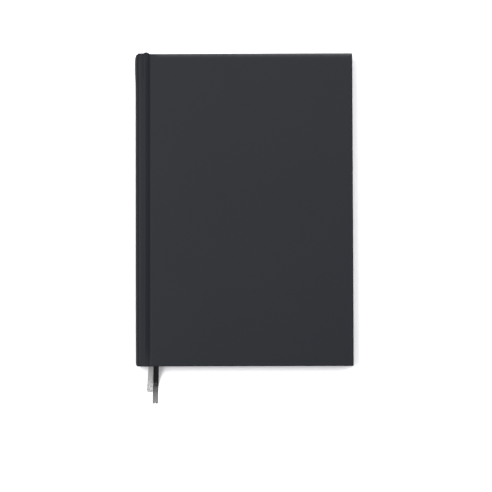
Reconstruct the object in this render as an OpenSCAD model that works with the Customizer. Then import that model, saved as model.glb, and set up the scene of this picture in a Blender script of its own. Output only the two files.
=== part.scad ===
// Case-bound notebook, closed and lying on its back cover, with two ribbon markers.
// X runs from the spine to the fore-edge, Y from tail to head, Z from the back cover to the front cover.
// The origin is the middle of the back cover's outer face.

/* [Cover] */
// Height of the covers, from tail to head
cover_h = 216; // [150:1:300]
// Width of the closed book, from the spine to the fore-edge
cover_w = 150.2; // [110:0.1:220]
// Thickness of a cover board
board_t = 2; // [1.6:0.1:2.6]
// Thickness of the covering material
covering_t = 0.35; // [0.25:0.05:0.4]
// Depth of the covering that is folded over the edges of the boards
turn_in = 15; // [10:1:22]
// Outer radius of the covered edges at head, tail and fore-edge
edge_r = 0.7; // [0.5:0.05:1]
// Inner radius of the fold where the covering turns in
fold_r = 0.35; // [0.2:0.05:0.5]

/* [Pages] */
// Thickness of the page block
block_t = 10.4; // [8:0.1:24]
// Overhang of the covers past the pages
square_w = 3; // [2:0.5:5]
// Number of sewn sections in the page block
sections = 6; // [3:1:10]
// Depth of the notch between two sections at the back
notch_d = 0.35; // [0.1:0.05:0.5]
// Hollow of the fore-edge that follows from rounding the back
fore_edge_hollow = 1.3; // [0.5:0.1:2]
// Rise of the outer sections where they are bent over at the back
shoulder_rise = 1.1; // [0.7:0.1:1.2]
// Radius of the bent sections at their crest
crest_r = 0.8; // [0.5:0.1:1]
// Radius where the bent sections run out into the flat page
rise_r = 1.5; // [1:0.1:2]
// Thickness of the endpapers
endpaper_t = 0.15; // [0.1:0.05:0.2]

/* [Spine] */
// Depth of the rounded spine, up to the centre of its edge radius
spine_bow = 2.9; // [2.4:0.1:3.4]
// Outer radius along the spine's two long edges
spine_edge_r = 1.3; // [1.1:0.1:1.6]
// Step from the cover's face down to the spine's shoulder
shoulder_drop = 0.8; // [0.6:0.1:1]
// Distance from the spine's outer face to where the shoulder dips into the joint
shoulder_w = 6.3; // [5.6:0.1:6.5]
// Outer radius where the shoulder dips into the joint
shoulder_r = 1; // [0.8:0.1:1.2]
// Depth to which the spine's ends are rounded, across its face
end_round_x = 2.4; // [1.5:0.1:3]
// Length that the rounded tail end takes along Y
tail_round_y = 2.4; // [1.5:0.1:4]
// Length that the rounded head end takes along Y
head_round_y = 4.2; // [1.5:0.1:5]
// Thickness of the card strip that stiffens the spine
strip_t = 0.8; // [0.5:0.1:1]
// Hollow between the turned-in covering and the lined back of the pages
hollow = 0.4; // [0.2:0.1:1]

/* [Joint] */
// Distance from the spine's outer face to the bottom of the joint groove
groove_set = 8.4; // [8.2:0.1:9]
// Distance from the spine's outer face to the board's edge at the joint
board_set = 10.7; // [10.5:0.1:12]
// Radius at the bottom of the joint groove
groove_r = 0.6; // [0.5:0.1:1.2]
// Outer radius where the covering bends over the board's edge at the joint
board_edge_r = 0.8; // [0.6:0.1:1.2]
// Gap between what hinges and what stays, at the bottom of the groove
seam_gap = 0.1; // [0.06:0.02:0.2]

/* [Back lining] */
// Thickness of the mull, the open cloth glued over the back
mull_t = 0.2; // [0.1:0.05:0.25]
// Width of the mull under each pastedown
mull_flap = 20; // [12:1:30]
// Distance from the ends of the pages to the ends of the mull
mull_set = 15; // [13:1:25]
// Thickness of the paper glued over the mull
lining_t = 0.2; // [0.1:0.05:0.3]
// Diameter of the bead of a headband
band_d = 1.4; // [1:0.1:1.8]
// Thickness of a headband's tape
band_tape_t = 0.3; // [0.2:0.05:0.4]
// Length of a headband's tape down the back
band_tape_l = 12; // [6:1:12]

/* [Ribbons] */
// Width of a ribbon marker
ribbon_w = 3.8; // [3:0.1:3.9]
// Thickness of a ribbon marker
ribbon_t = 0.25; // [0.15:0.05:0.3]
// Room around a ribbon between the leaves
ribbon_room = 0.1; // [0.05:0.05:0.2]

/* [Hidden] */

// Main planes of the closed book
spine_x = -cover_w / 2;
fore_x = cover_w / 2;
stack_t = 2 * endpaper_t + 2 * covering_t + board_t;
total_t = block_t + 2 * stack_t;
mid_z = total_t / 2;
page_h = cover_h - 2 * square_w;
page_x = fore_x - square_w;
page_top = mid_z + block_t / 2;
// Lowest face of the front cover's turned-in covering, and the inner face of its board
rim_z = total_t - board_t - 2 * covering_t;
board_in_z = rim_z + covering_t;
// Margin by which a cutting solid runs past what it cuts
past = 1;
// Distance by which a rounding starts outside the faces that it cuts
graze = 0.03;
// Half length of the window that the turned-in covering leaves open
window_y = cover_h / 2 - turn_in;

// The rounded spine: its half height, the height of its edge radius, its own radius, centre and half angle
spine_half = mid_z - shoulder_drop;
edge_half = spine_half - spine_edge_r;
spine_r = (edge_half ^ 2 + spine_bow ^ 2 - spine_edge_r ^ 2) / (2 * (spine_bow - spine_edge_r));
spine_cx = spine_x + spine_r;
spine_a = asin(edge_half / (spine_r - spine_edge_r));
spine_edge_cx = spine_x + spine_bow;
strip_in = covering_t + strip_t;
lip_in = strip_in + covering_t;
lip_a = asin(covering_t / (spine_r - lip_in));
lip_edge_a = asin(covering_t / (spine_edge_r - 2 * covering_t));

// The joint groove, whose covering is pressed down to the level of the board's inner face
groove_x = spine_x + groove_set;
groove_z = board_in_z + covering_t;
stay_x = groove_x - seam_gap / 2;
swing_x = groove_x + seam_gap / 2;
board_x = spine_x + board_set;
board_arc_x = board_x + board_edge_r - covering_t;
shoulder_cx = spine_x + shoulder_w;
shoulder_a = slope_angle(groove_x - shoulder_cx, mid_z + spine_half - groove_z, groove_r + shoulder_r);
board_a = slope_angle(board_arc_x - groove_x, total_t - groove_z, groove_r + board_edge_r);

// The rounded and backed page block, whose back is concentric with the spine
back_r = spine_r - lip_in - hollow - lining_t - mull_t - endpaper_t;
crest_half = block_t / 2 + shoulder_rise;
crest_drop = crest_half - crest_r;
crest_cx = spine_cx - sqrt((back_r - crest_r) ^ 2 - crest_drop ^ 2);
crest_a = asin(crest_drop / (back_r - crest_r));
rise_a = slope_angle(stay_x - crest_cx, shoulder_rise, crest_r + rise_r);
fore_edge_r = ((block_t / 2) ^ 2 + fore_edge_hollow ^ 2) / (2 * fore_edge_hollow);
fore_edge_a = asin(block_t / 2 / fore_edge_r);
mull_out = endpaper_t + mull_t;
mull_y = page_h / 2 - mull_set;

// Steps in a short arc, and in half of the rounded back
arc_steps = 4;
back_steps = 8;
notch_steps = 6;

// Each ribbon between the leaves: its distance from the spine, and its height from the middle plane
light_set = 10.4;
light_rise = -2.9;
dark_set = 14;
dark_rise = 1.1;
// Height of a ribbon's centre line where it lies on the surface under the book
lie_z = 0.2;
// Stretches of a ribbon between the leaves
leaf_steps = 12;

// Each ribbon from behind the headband into the pages: distance from the spine, distance past the head
// of the pages, and the turn of its width from upright (0) to level (90)
light_head = [[4.9, 0.4, 0], [6.1, 0.7, 5], [7.5, 1.2, 25], [8.8, 1.5, 50], [9.8, 1.3, 72], [10.3, 0.8, 86]];
dark_head = [
    [4.9, 0.4, 0], [6.5, 0.5, 0], [8.1, 0.8, 5], [9.9, 1.2, 20], [11.6, 1.5, 45], [13, 1.4, 70], [13.8, 0.9, 85]
];

// Each ribbon past the tail of the pages: distance from the spine, distance past the pages,
// and the share of its height that it still has
light_tail = [
    [10.4, 2, 0.96], [10.3, 4, 0.83], [10.2, 6, 0.62], [10, 8, 0.38], [9.8, 10.2, 0.17], [9.6, 12.4, 0.04],
    [9.4, 14.6, 0], [9.2, 17.6, 0], [9.1, 20.7, 0]
];
dark_tail = [
    [14, 2, 0.98], [14, 4.2, 0.9], [13.9, 6.4, 0.76], [13.8, 8.6, 0.58], [13.7, 10.8, 0.39], [13.6, 13, 0.22],
    [13.5, 15.2, 0.09], [13.3, 17.4, 0.02], [13.2, 19.8, 0], [13.1, 24.4, 0], [13, 28.9, 0]
];

// A ribbon's whole route, as X, Y, Z and the turn of its width
function ribbon_route(head, tail, set, rise) =
    let (x = spine_x + set, z = mid_z + rise)
    concat(
        [for (p = head) [spine_x + p[0], page_h / 2 + p[1], z, p[2]]],
        [for (i = [0:leaf_steps]) [x, page_h * (0.5 - i / leaf_steps), z, 90]],
        [for (p = tail) [spine_x + p[0], -page_h / 2 - p[1], lie_z + (z - lie_z) * p[2], 90]]
    );

// Angle of the straight stretch that joins two arcs, over a width w and a drop g, with the radii's sum r
function slope_angle(w, g, r) = atan2(g - r, w) + asin(r / norm([w, g - r]));

// Points along an arc about (cx, cz), from angle a0 to angle a1
function arc(cx, cz, r, a0, a1, steps) =
    [for (i = [0:steps]) let (a = a0 + (a1 - a0) * i / steps) [cx + r * cos(a), cz + r * sin(a)]];

// The same points without the first, or without the last
function but_first(points) = [for (i = [1:len(points) - 1]) points[i]];
function but_last(points) = [for (i = [0:len(points) - 2]) points[i]];

// The same points from the last to the first
function backwards(points) = [for (i = [len(points) - 1:-1:0]) points[i]];

// The same points on the other side of the book's middle plane
function other_side(points) = [for (p = points) [p.x, total_t - p.y]];

// A path of the front half that starts on the middle plane, continued through the back half
function both_sides(points) =
    concat(backwards(other_side(but_first(points))), points);

// Angle past the groove's lowest point at which a face at depth o meets the seam
function seam_a(o) = asin(seam_gap / 2 / (groove_r + o));

// The spine's face at depth o below the outer face, from the middle plane to the edge radius
function spine_back(o) = arc(spine_cx, mid_z, spine_r - o, 180, 180 - spine_a, back_steps);

// The shoulder's face at depth o, from the spine's edge radius to the seam in the groove
function shoulder(o, start_a) = concat(
    arc(spine_edge_cx, mid_z + edge_half, spine_edge_r - o, start_a, 90, arc_steps),
    arc(shoulder_cx, mid_z + spine_half - shoulder_r, shoulder_r - o, 90, 90 - shoulder_a, arc_steps),
    arc(groove_x, groove_z + groove_r, groove_r + o, 270 - shoulder_a, 270 - seam_a(o), arc_steps)
);

// The front cover's face at depth o, from the seam in the groove to the flat of the board
function joint(o) = concat(
    arc(groove_x, groove_z + groove_r, groove_r + o, 270 + seam_a(o), 270 + board_a, arc_steps),
    arc(board_arc_x, total_t - board_edge_r, board_edge_r - o, 90 + board_a, 90, arc_steps)
);

// The page block's back at height o above it, from the middle plane to the crest
function block_back(o) = arc(spine_cx, mid_z, back_r + o, 180, 180 - crest_a, back_steps);

// The page block's bent sections at height o above them: round the crest, and from its top to the joint
function block_crest(o) =
    but_last(arc(crest_cx, mid_z + crest_drop, crest_r + o, 180 - crest_a, 90, arc_steps));
function block_rise(o) = concat(
    arc(crest_cx, mid_z + crest_drop, crest_r + o, 90, 90 - rise_a, arc_steps),
    arc(stay_x, page_top + rise_r, rise_r - o, 270 - rise_a, 270, arc_steps)
);

// The block's back with a notch between each two sections
function notched_back() = [
    for (i = [0:sections * notch_steps])
        let (t = i / (sections * notch_steps))
        let (a = 180 + crest_a - 2 * crest_a * t)
        let (r = back_r - notch_d * (1 - abs(sin(180 * sections * t))))
        [spine_cx + r * cos(a), mid_z + r * sin(a)]
];

// Direction of a route at point i, and the ribbon's width direction there
function at(route, i) = let (p = route[max(0, min(len(route) - 1, i))]) [p[0], p[1], p[2]];
function unit(v) = v / norm(v);
function heading(route, i) = unit(at(route, i + 1) - at(route, i - 1));
function across(route, i) =
    let (w = [sin(route[i][3]), 0, cos(route[i][3])])
    let (t = heading(route, i))
    unit(w - (w * t) * t);

// The four corners of a ribbon at point i of its route
function ribbon_ring(route, i) =
    let (w = across(route, i) * ribbon_w / 2)
    let (n = cross(heading(route, i), across(route, i)) * ribbon_t / 2)
    [at(route, i) - w - n, at(route, i) + w - n, at(route, i) + w + n, at(route, i) - w + n];

// An outline in X and Z, extruded along Y about the middle of the book
module along_y(length) {
    rotate([90, 0, 0]) linear_extrude(length, center = true) children();
}

// What is made for the front, in its place at the back
module at_back() {
    translate([0, 0, total_t]) mirror([0, 0, 1]) children();
}

// A box between two X values and two Z values, half_y to each side of the middle
module slab(x0, x1, half_y, z0, z1) {
    translate([x0, -half_y, z0]) cube([x1 - x0, 2 * half_y, z1 - z0]);
}

// What is cut off to round one end of the spine about its own axis, side 1 at the head and -1 at the tail
module end_round(inset, side, round_y) {
    r0 = spine_r - end_round_x;
    y0 = cover_h / 2 - round_y;
    rx = end_round_x - inset + graze;
    ry = round_y - inset + graze;
    points = concat(
        [for (p = arc(0, 0, 1, 0, 90, 2 * arc_steps)) [r0 + rx * p.x, side * (y0 + ry * p.y)]],
        [[r0, side * (y0 + ry + past)], [r0 + rx + past, side * (y0 + ry + past)], [r0 + rx + past, side * y0]]
    );
    translate([spine_cx, 0, mid_z]) rotate([-90, 0, 0]) rotate_extrude($fn = 96) polygon(points);
}

module spine_ends(inset) {
    end_round(inset, 1, head_round_y);
    end_round(inset, -1, tail_round_y);
}

// The space of a front cover with its edges rounded, before its inside is taken out
module cover_envelope() {
    section = concat(
        joint(0),
        arc(fore_x - edge_r, total_t - edge_r, edge_r, 90, 0, arc_steps),
        arc(fore_x - fold_r, rim_z + fold_r, fold_r, 0, -90, arc_steps),
        [[swing_x, rim_z]]
    );
    end_y = cover_h / 2;
    head_side = concat(
        arc(end_y - edge_r, total_t - edge_r, edge_r, 90, 0, arc_steps),
        arc(end_y - fold_r, rim_z + fold_r, fold_r, 0, -90, arc_steps)
    );
    tail_side = [for (p = backwards(head_side)) [-p.x, p.y]];
    intersection() {
        along_y(cover_h + past) polygon(section);
        translate([spine_x, 0, 0]) rotate([90, 0, 90]) linear_extrude(cover_w + past)
            polygon(concat(head_side, tail_side));
    }
}

// The board inside the front cover
module board_solid() {
    inner_r = edge_r - covering_t;
    section = concat(
        [[board_x, board_in_z]],
        arc(board_arc_x, total_t - board_edge_r, board_edge_r - covering_t, 180, 90 + board_a, 2),
        arc(board_arc_x, total_t - board_edge_r, board_edge_r - covering_t, 90 + board_a, 90, arc_steps),
        arc(fore_x - edge_r, total_t - edge_r, inner_r, 90, 0, arc_steps),
        [[fore_x - covering_t, board_in_z]]
    );
    end_y = cover_h / 2;
    head_side = concat(
        arc(end_y - edge_r, total_t - edge_r, inner_r, 90, 0, arc_steps),
        [[end_y - covering_t, board_in_z]]
    );
    tail_side = [for (p = backwards(head_side)) [-p.x, p.y]];
    intersection() {
        along_y(cover_h) polygon(section);
        translate([spine_x, 0, 0]) rotate([90, 0, 90]) linear_extrude(cover_w)
            polygon(concat(head_side, tail_side));
    }
}

// The front half of the covering: over the board, round its edges and turned in on its inner face
module covering_solid() {
    inner = joint(covering_t);
    groove_hollow = concat(
        but_first(inner),
        [[board_arc_x, board_in_z], [inner[1].x, board_in_z]]
    );
    difference() {
        cover_envelope();
        board_solid();
        along_y(cover_h - 2 * covering_t) polygon(groove_hollow);
        slab(groove_x - past, fore_x - turn_in, window_y, rim_z - past, board_in_z);
    }
}

// The pastedown, which steps down from the board over the mull and over the turned-in covering
module pastedown_solid() {
    flap_x = swing_x + mull_flap;
    plate_z = board_in_z - endpaper_t;
    low_z = rim_z - endpaper_t;
    difference() {
        union() {
            slab(swing_x, page_x, page_h / 2, low_z, rim_z);
            slab(swing_x, fore_x - turn_in, window_y, low_z, board_in_z);
        }
        flap_solid();
        slab(swing_x - past, flap_x + endpaper_t, mull_y + endpaper_t, low_z - past, plate_z - mull_t);
        difference() {
            slab(swing_x - past, fore_x - turn_in - endpaper_t, window_y - endpaper_t, low_z - past, plate_z);
            slab(swing_x - 2 * past, flap_x + endpaper_t, mull_y + endpaper_t, low_z - 2 * past, total_t);
        }
    }
}

// The part of the mull that is glued to the board
module flap_solid() {
    slab(swing_x, swing_x + mull_flap, mull_y, board_in_z - mull_t, board_in_z);
}

// The free leaf of an endpaper, lying on the page block and over its crest
module flyleaf_solid() {
    upper = concat(block_rise(endpaper_t), [[page_x, page_top + endpaper_t]]);
    lower = concat(block_rise(0), [[page_x, page_top]]);
    along_y(page_h) polygon(concat(upper, backwards(lower)));
}

// A bead with its tape, laid round the back of the pages at the head
module band_solid() {
    translate([spine_cx, 0, mid_z]) rotate([-90, 0, 0])
        rotate_extrude(angle = 2 * crest_a, start = 180 - crest_a, $fn = 96) {
            translate([back_r - band_d / 2 + band_tape_t, page_h / 2 + band_d / 2]) circle(d = band_d);
            translate([back_r, page_h / 2 - band_tape_l]) square([band_tape_t, band_tape_l + band_d / 2]);
        }
}

// A flat ribbon swept along its route
module ribbon_solid(route) {
    rings = len(route);
    points = [for (i = [0:rings - 1]) each ribbon_ring(route, i)];
    sides = [
        for (i = [0:rings - 2], k = [0:3])
            let (a = 4 * i + k)
            let (b = 4 * i + (k + 1) % 4)
            each [[a, b, b + 4], [a, b + 4, a + 4]]
    ];
    last = 4 * rings - 4;
    polyhedron(points, concat([[3, 2, 1, 0]], sides, [[last, last + 1, last + 2, last + 3]]));
}

// The opening between two leaves that a ribbon lies in
module ribbon_slot(x, z) {
    half_w = ribbon_w / 2 + ribbon_room;
    half_t = ribbon_t / 2 + ribbon_room;
    slab(x - half_w, x + half_w, page_h / 2 + past, z - half_t, z + half_t);
}

module page_block() {
    front = concat(block_crest(0), block_rise(0), [[page_x, page_top]]);
    fore_cx = page_x - fore_edge_hollow + fore_edge_r;
    fore_edge = arc(fore_cx, mid_z, fore_edge_r, 180 - fore_edge_a, 180 + fore_edge_a, 2 * arc_steps);
    hollow_edge = but_first(but_last(fore_edge));
    color("ivory") difference() {
        along_y(page_h) polygon(concat(notched_back(), front, hollow_edge, backwards(other_side(front))));
        ribbon_slot(spine_x + light_set, mid_z + light_rise);
        ribbon_slot(spine_x + dark_set, mid_z + dark_rise);
    }
}

module front_flyleaf() {
    color("oldlace") flyleaf_solid();
}

module back_flyleaf() {
    color("oldlace") at_back() flyleaf_solid();
}

module spine_mull() {
    inner = concat(but_last(block_back(endpaper_t)), block_crest(endpaper_t), block_rise(endpaper_t));
    outer = concat(but_last(block_back(mull_out)), block_crest(mull_out), block_rise(mull_out));
    color("beige") along_y(2 * mull_y) polygon(concat(both_sides(outer), backwards(both_sides(inner))));
}

module spine_lining() {
    inner = both_sides(block_back(mull_out));
    outer = both_sides(block_back(mull_out + lining_t));
    color("tan") along_y(2 * mull_y) polygon(concat(outer, backwards(inner)));
}

module headband() {
    color("gainsboro") band_solid();
}

module tailband() {
    color("gainsboro") mirror([0, 1, 0]) band_solid();
}

module strip_solid() {
    outer = both_sides(spine_back(covering_t));
    inner = both_sides(spine_back(strip_in));
    difference() {
        along_y(cover_h - 2 * covering_t) polygon(concat(outer, backwards(inner)));
        spine_ends(covering_t);
    }
}

module spine_strip() {
    color("burlywood") strip_solid();
}

module spine_covering() {
    outer = concat(but_last(spine_back(0)), shoulder(0, 180 - spine_a));
    under = concat(but_last(spine_back(covering_t)), shoulder(covering_t, 180 - spine_a));
    lip = concat(
        arc(spine_cx, mid_z, spine_r - lip_in, 180, 180 - spine_a - lip_a, back_steps),
        shoulder(2 * covering_t, 180 - spine_a - lip_edge_a)
    );
    color([0.2, 0.21, 0.23]) difference() {
        along_y(cover_h) polygon(concat(both_sides(outer), backwards(both_sides(lip))));
        strip_solid();
        along_y(2 * window_y) polygon(both_sides(under));
        spine_ends(0);
    }
}

module light_ribbon() {
    color("silver") ribbon_solid(ribbon_route(light_head, light_tail, light_set, light_rise));
}

module dark_ribbon() {
    color([0.08, 0.08, 0.09]) ribbon_solid(ribbon_route(dark_head, dark_tail, dark_set, dark_rise));
}

module front_board() {
    color("burlywood") board_solid();
}

module front_covering() {
    color([0.2, 0.21, 0.23]) covering_solid();
}

module front_pastedown() {
    color("oldlace") pastedown_solid();
}

module front_mull_flap() {
    color("beige") flap_solid();
}

module back_board() {
    color("burlywood") at_back() board_solid();
}

module back_covering() {
    color([0.2, 0.21, 0.23]) at_back() covering_solid();
}

module back_pastedown() {
    color("oldlace") at_back() pastedown_solid();
}

module back_mull_flap() {
    color("beige") at_back() flap_solid();
}

page_block();
front_flyleaf();
back_flyleaf();
spine_mull();
spine_lining();
headband();
tailband();
spine_strip();
spine_covering();
light_ribbon();
dark_ribbon();
front_board();
front_covering();
front_pastedown();
front_mull_flap();
back_board();
back_covering();
back_pastedown();
back_mull_flap();
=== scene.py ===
"""Dresses a case-bound notebook: charcoal covering, trimmed leaves, endpapers, headbands and ribbon markers.

Everything is in metres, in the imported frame: X from spine to fore-edge, Y from tail to head, Z upwards.
"""
import logging
import math
from dataclasses import dataclass, field
from enum import Enum

import bmesh
import bpy
import numpy as np
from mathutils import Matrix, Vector


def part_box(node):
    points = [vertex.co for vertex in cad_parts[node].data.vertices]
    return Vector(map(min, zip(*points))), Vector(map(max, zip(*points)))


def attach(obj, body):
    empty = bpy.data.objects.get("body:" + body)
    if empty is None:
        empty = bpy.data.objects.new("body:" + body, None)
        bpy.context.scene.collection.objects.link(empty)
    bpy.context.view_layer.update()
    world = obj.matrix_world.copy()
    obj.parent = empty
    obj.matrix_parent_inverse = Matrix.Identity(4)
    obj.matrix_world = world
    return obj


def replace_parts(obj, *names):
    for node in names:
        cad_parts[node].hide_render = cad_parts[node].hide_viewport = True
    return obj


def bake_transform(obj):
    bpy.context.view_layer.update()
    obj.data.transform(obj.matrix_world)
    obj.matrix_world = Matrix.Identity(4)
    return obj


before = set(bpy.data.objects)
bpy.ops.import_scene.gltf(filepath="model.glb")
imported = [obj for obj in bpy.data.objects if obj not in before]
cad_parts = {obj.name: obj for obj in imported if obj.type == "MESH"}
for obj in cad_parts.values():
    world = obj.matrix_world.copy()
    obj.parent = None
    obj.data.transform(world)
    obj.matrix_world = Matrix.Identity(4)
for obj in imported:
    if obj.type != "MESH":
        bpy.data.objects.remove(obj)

LOG = logging.getLogger("notebook")
MM = 0.001

Socket = bpy.types.NodeSocket
Points = list[tuple[float, float]]


class End(Enum):
    """The two ends of the book along Y."""

    HEAD = 1
    TAIL = -1


class Side(Enum):
    """The two covers of the book."""

    FRONT = 1
    BACK = -1


def arc(cx: float, cz: float, r: float, a0: float, a1: float, steps: int) -> Points:
    """Points along an arc in a plane.

    Args:
        cx: First coordinate of the centre.
        cz: Second coordinate of the centre.
        r: Radius.
        a0: Start angle in degrees.
        a1: End angle in degrees.
        steps: Number of chords.

    Returns:
        The points, from the start angle to the end angle.
    """
    angles = [math.radians(a0 + (a1 - a0) * i / steps) for i in range(steps + 1)]
    return [(cx + r * math.cos(a), cz + r * math.sin(a)) for a in angles]


def slope_angle(width: float, drop: float, radii: float) -> float:
    """Angle, in degrees, of the straight stretch that joins two arcs.

    Args:
        width: Distance between the arcs' centres across the slope.
        drop: Height between the two levels.
        radii: Sum of the two radii.

    Returns:
        The slope's angle from level.
    """
    reach = math.hypot(width, drop - radii)
    return math.degrees(math.atan2(drop - radii, width) + math.asin(radii / reach))


def smooth(t: float) -> float:
    """A soft step from 0 to 1 as t goes from 0 to 1."""
    t = min(1.0, max(0.0, t))
    return t * t * (3 - 2 * t)


def spread(low: float, high: float, count: int) -> list[float]:
    """Evenly spaced values from low to high, both included."""
    return [low + (high - low) * i / (count - 1) for i in range(count)]


@dataclass(frozen=True)
class BookSizes:
    """The closed book's planes and radii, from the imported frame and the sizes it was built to."""

    spine_x: float
    fore_x: float
    groove_x: float
    half_h: float
    total_t: float
    rim_z: float
    page_x: float
    page_y: float
    page_z: float
    block_t: float
    covering_t: float = 0.35 * MM
    board_t: float = 2.0 * MM
    turn_in: float = 15.0 * MM
    edge_r: float = 0.7 * MM
    fold_r: float = 0.35 * MM
    endpaper_t: float = 0.15 * MM
    spine_bow: float = 2.9 * MM
    spine_edge_r: float = 1.3 * MM
    shoulder_drop: float = 0.8 * MM
    shoulder_w: float = 6.3 * MM
    shoulder_r: float = 0.9 * MM
    groove_r: float = 0.3 * MM
    board_edge_r: float = 0.9 * MM
    board_set: float = 10.7 * MM
    strip_t: float = 0.8 * MM
    back_set: float = 2.45 * MM
    shoulder_rise: float = 1.1 * MM
    fore_hollow: float = 1.3 * MM
    notch_d: float = 0.35 * MM
    sections: int = 6

    @classmethod
    def from_frame(cls) -> "BookSizes":
        """Reads the book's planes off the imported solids.

        Returns:
            The sizes.
        """
        cover_low, cover_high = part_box("front_covering")
        spine_low, spine_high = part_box("spine_covering")
        _, leaf_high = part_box("front_flyleaf")
        total_t = cover_high[2]
        page_z = total_t - cover_low[2] + 2 * cls.endpaper_t
        return cls(
            spine_x=spine_low[0],
            fore_x=cover_high[0],
            groove_x=(cover_low[0] + spine_high[0]) / 2,
            half_h=cover_high[1],
            total_t=total_t,
            rim_z=cover_low[2],
            page_x=leaf_high[0],
            page_y=leaf_high[1],
            page_z=page_z,
            block_t=total_t - 2 * page_z,
        )

    @property
    def mid_z(self) -> float:
        """Height of the book's middle plane."""
        return self.total_t / 2

    @property
    def groove_z(self) -> float:
        """Height of the covering's face at the bottom of the front groove."""
        return self.rim_z + 2 * self.covering_t

    @property
    def board_in_z(self) -> float:
        """Height of the front board's inner face."""
        return self.rim_z + self.covering_t

    @property
    def board_arc_x(self) -> float:
        """Centre of the arc over the board's edge at the joint."""
        return self.spine_x + self.board_set + self.board_edge_r - self.covering_t

    @property
    def spine_half(self) -> float:
        """Height of the shoulders above the middle plane."""
        return self.mid_z - self.shoulder_drop

    @property
    def spine_r(self) -> float:
        """Radius of the rounded spine."""
        edge = self.spine_half - self.spine_edge_r
        bow, r = self.spine_bow, self.spine_edge_r
        return (edge ** 2 + bow ** 2 - r ** 2) / (2 * (bow - r))

    @property
    def back_r(self) -> float:
        """Radius of the page block's back, concentric with the spine."""
        return self.spine_r - self.back_set

    @property
    def crest_half(self) -> float:
        """Height of the bent sections above the middle plane, at the back."""
        return self.block_t / 2 + self.shoulder_rise


SIZES = BookSizes.from_frame()


def make_object(name: str, points: list[Vector], faces: list[tuple[int, ...]]) -> bpy.types.Object:
    """Makes a smooth-shaded mesh object with doubled points merged.

    Args:
        name: The piece's name.
        points: Vertex positions.
        faces: Vertex numbers of each face.

    Returns:
        The object, linked to the scene.
    """
    mesh = bpy.data.meshes.new(name)
    mesh.from_pydata([tuple(p) for p in points], [], faces)
    work = bmesh.new()
    work.from_mesh(mesh)
    bmesh.ops.remove_doubles(work, verts=work.verts, dist=0.002 * MM)
    bmesh.ops.dissolve_degenerate(work, edges=work.edges, dist=0.001 * MM)
    work.to_mesh(mesh)
    work.free()
    mesh.shade_smooth()
    piece = bpy.data.objects.new(name, mesh)
    bpy.context.scene.collection.objects.link(piece)
    return piece


def grid_faces(rows: int, columns: int, start: int = 0, flip: bool = False) -> list[tuple[int, ...]]:
    """Quads over a grid of points stored row by row.

    Args:
        rows: Number of rows.
        columns: Number of points in a row.
        start: Number of the grid's first point.
        flip: True to turn the faces over.

    Returns:
        The faces.
    """
    faces = []
    for i in range(rows - 1):
        for j in range(columns - 1):
            a = start + i * columns + j
            quad = (a, a + columns, a + columns + 1, a + 1)
            faces.append(quad[::-1] if flip else quad)
    return faces


def solid_sheet(piece: bpy.types.Object, thickness: float) -> None:
    """Gives an open sheet its thickness, behind its faces, and makes the result its mesh.

    Args:
        piece: The sheet.
        thickness: The sheet's thickness.
    """
    wall = piece.modifiers.new("thickness", "SOLIDIFY")
    wall.thickness = thickness
    wall.offset = -1.0
    wall.use_even_offset = False
    bake_modifiers(piece)


def bake_modifiers(piece: bpy.types.Object) -> None:
    """Replaces an object's mesh by its evaluated one and removes its modifiers."""
    graph = bpy.context.evaluated_depsgraph_get()
    graph.update()
    result = bpy.data.meshes.new_from_object(piece.evaluated_get(graph))
    piece.modifiers.clear()
    piece.data = result
    result.name = piece.name


def set_material(piece: bpy.types.Object, material: bpy.types.Material) -> None:
    """Makes one material the only one on a piece."""
    piece.data.materials.clear()
    piece.data.materials.append(material)
    for slot in piece.material_slots:
        slot.material = material


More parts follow.
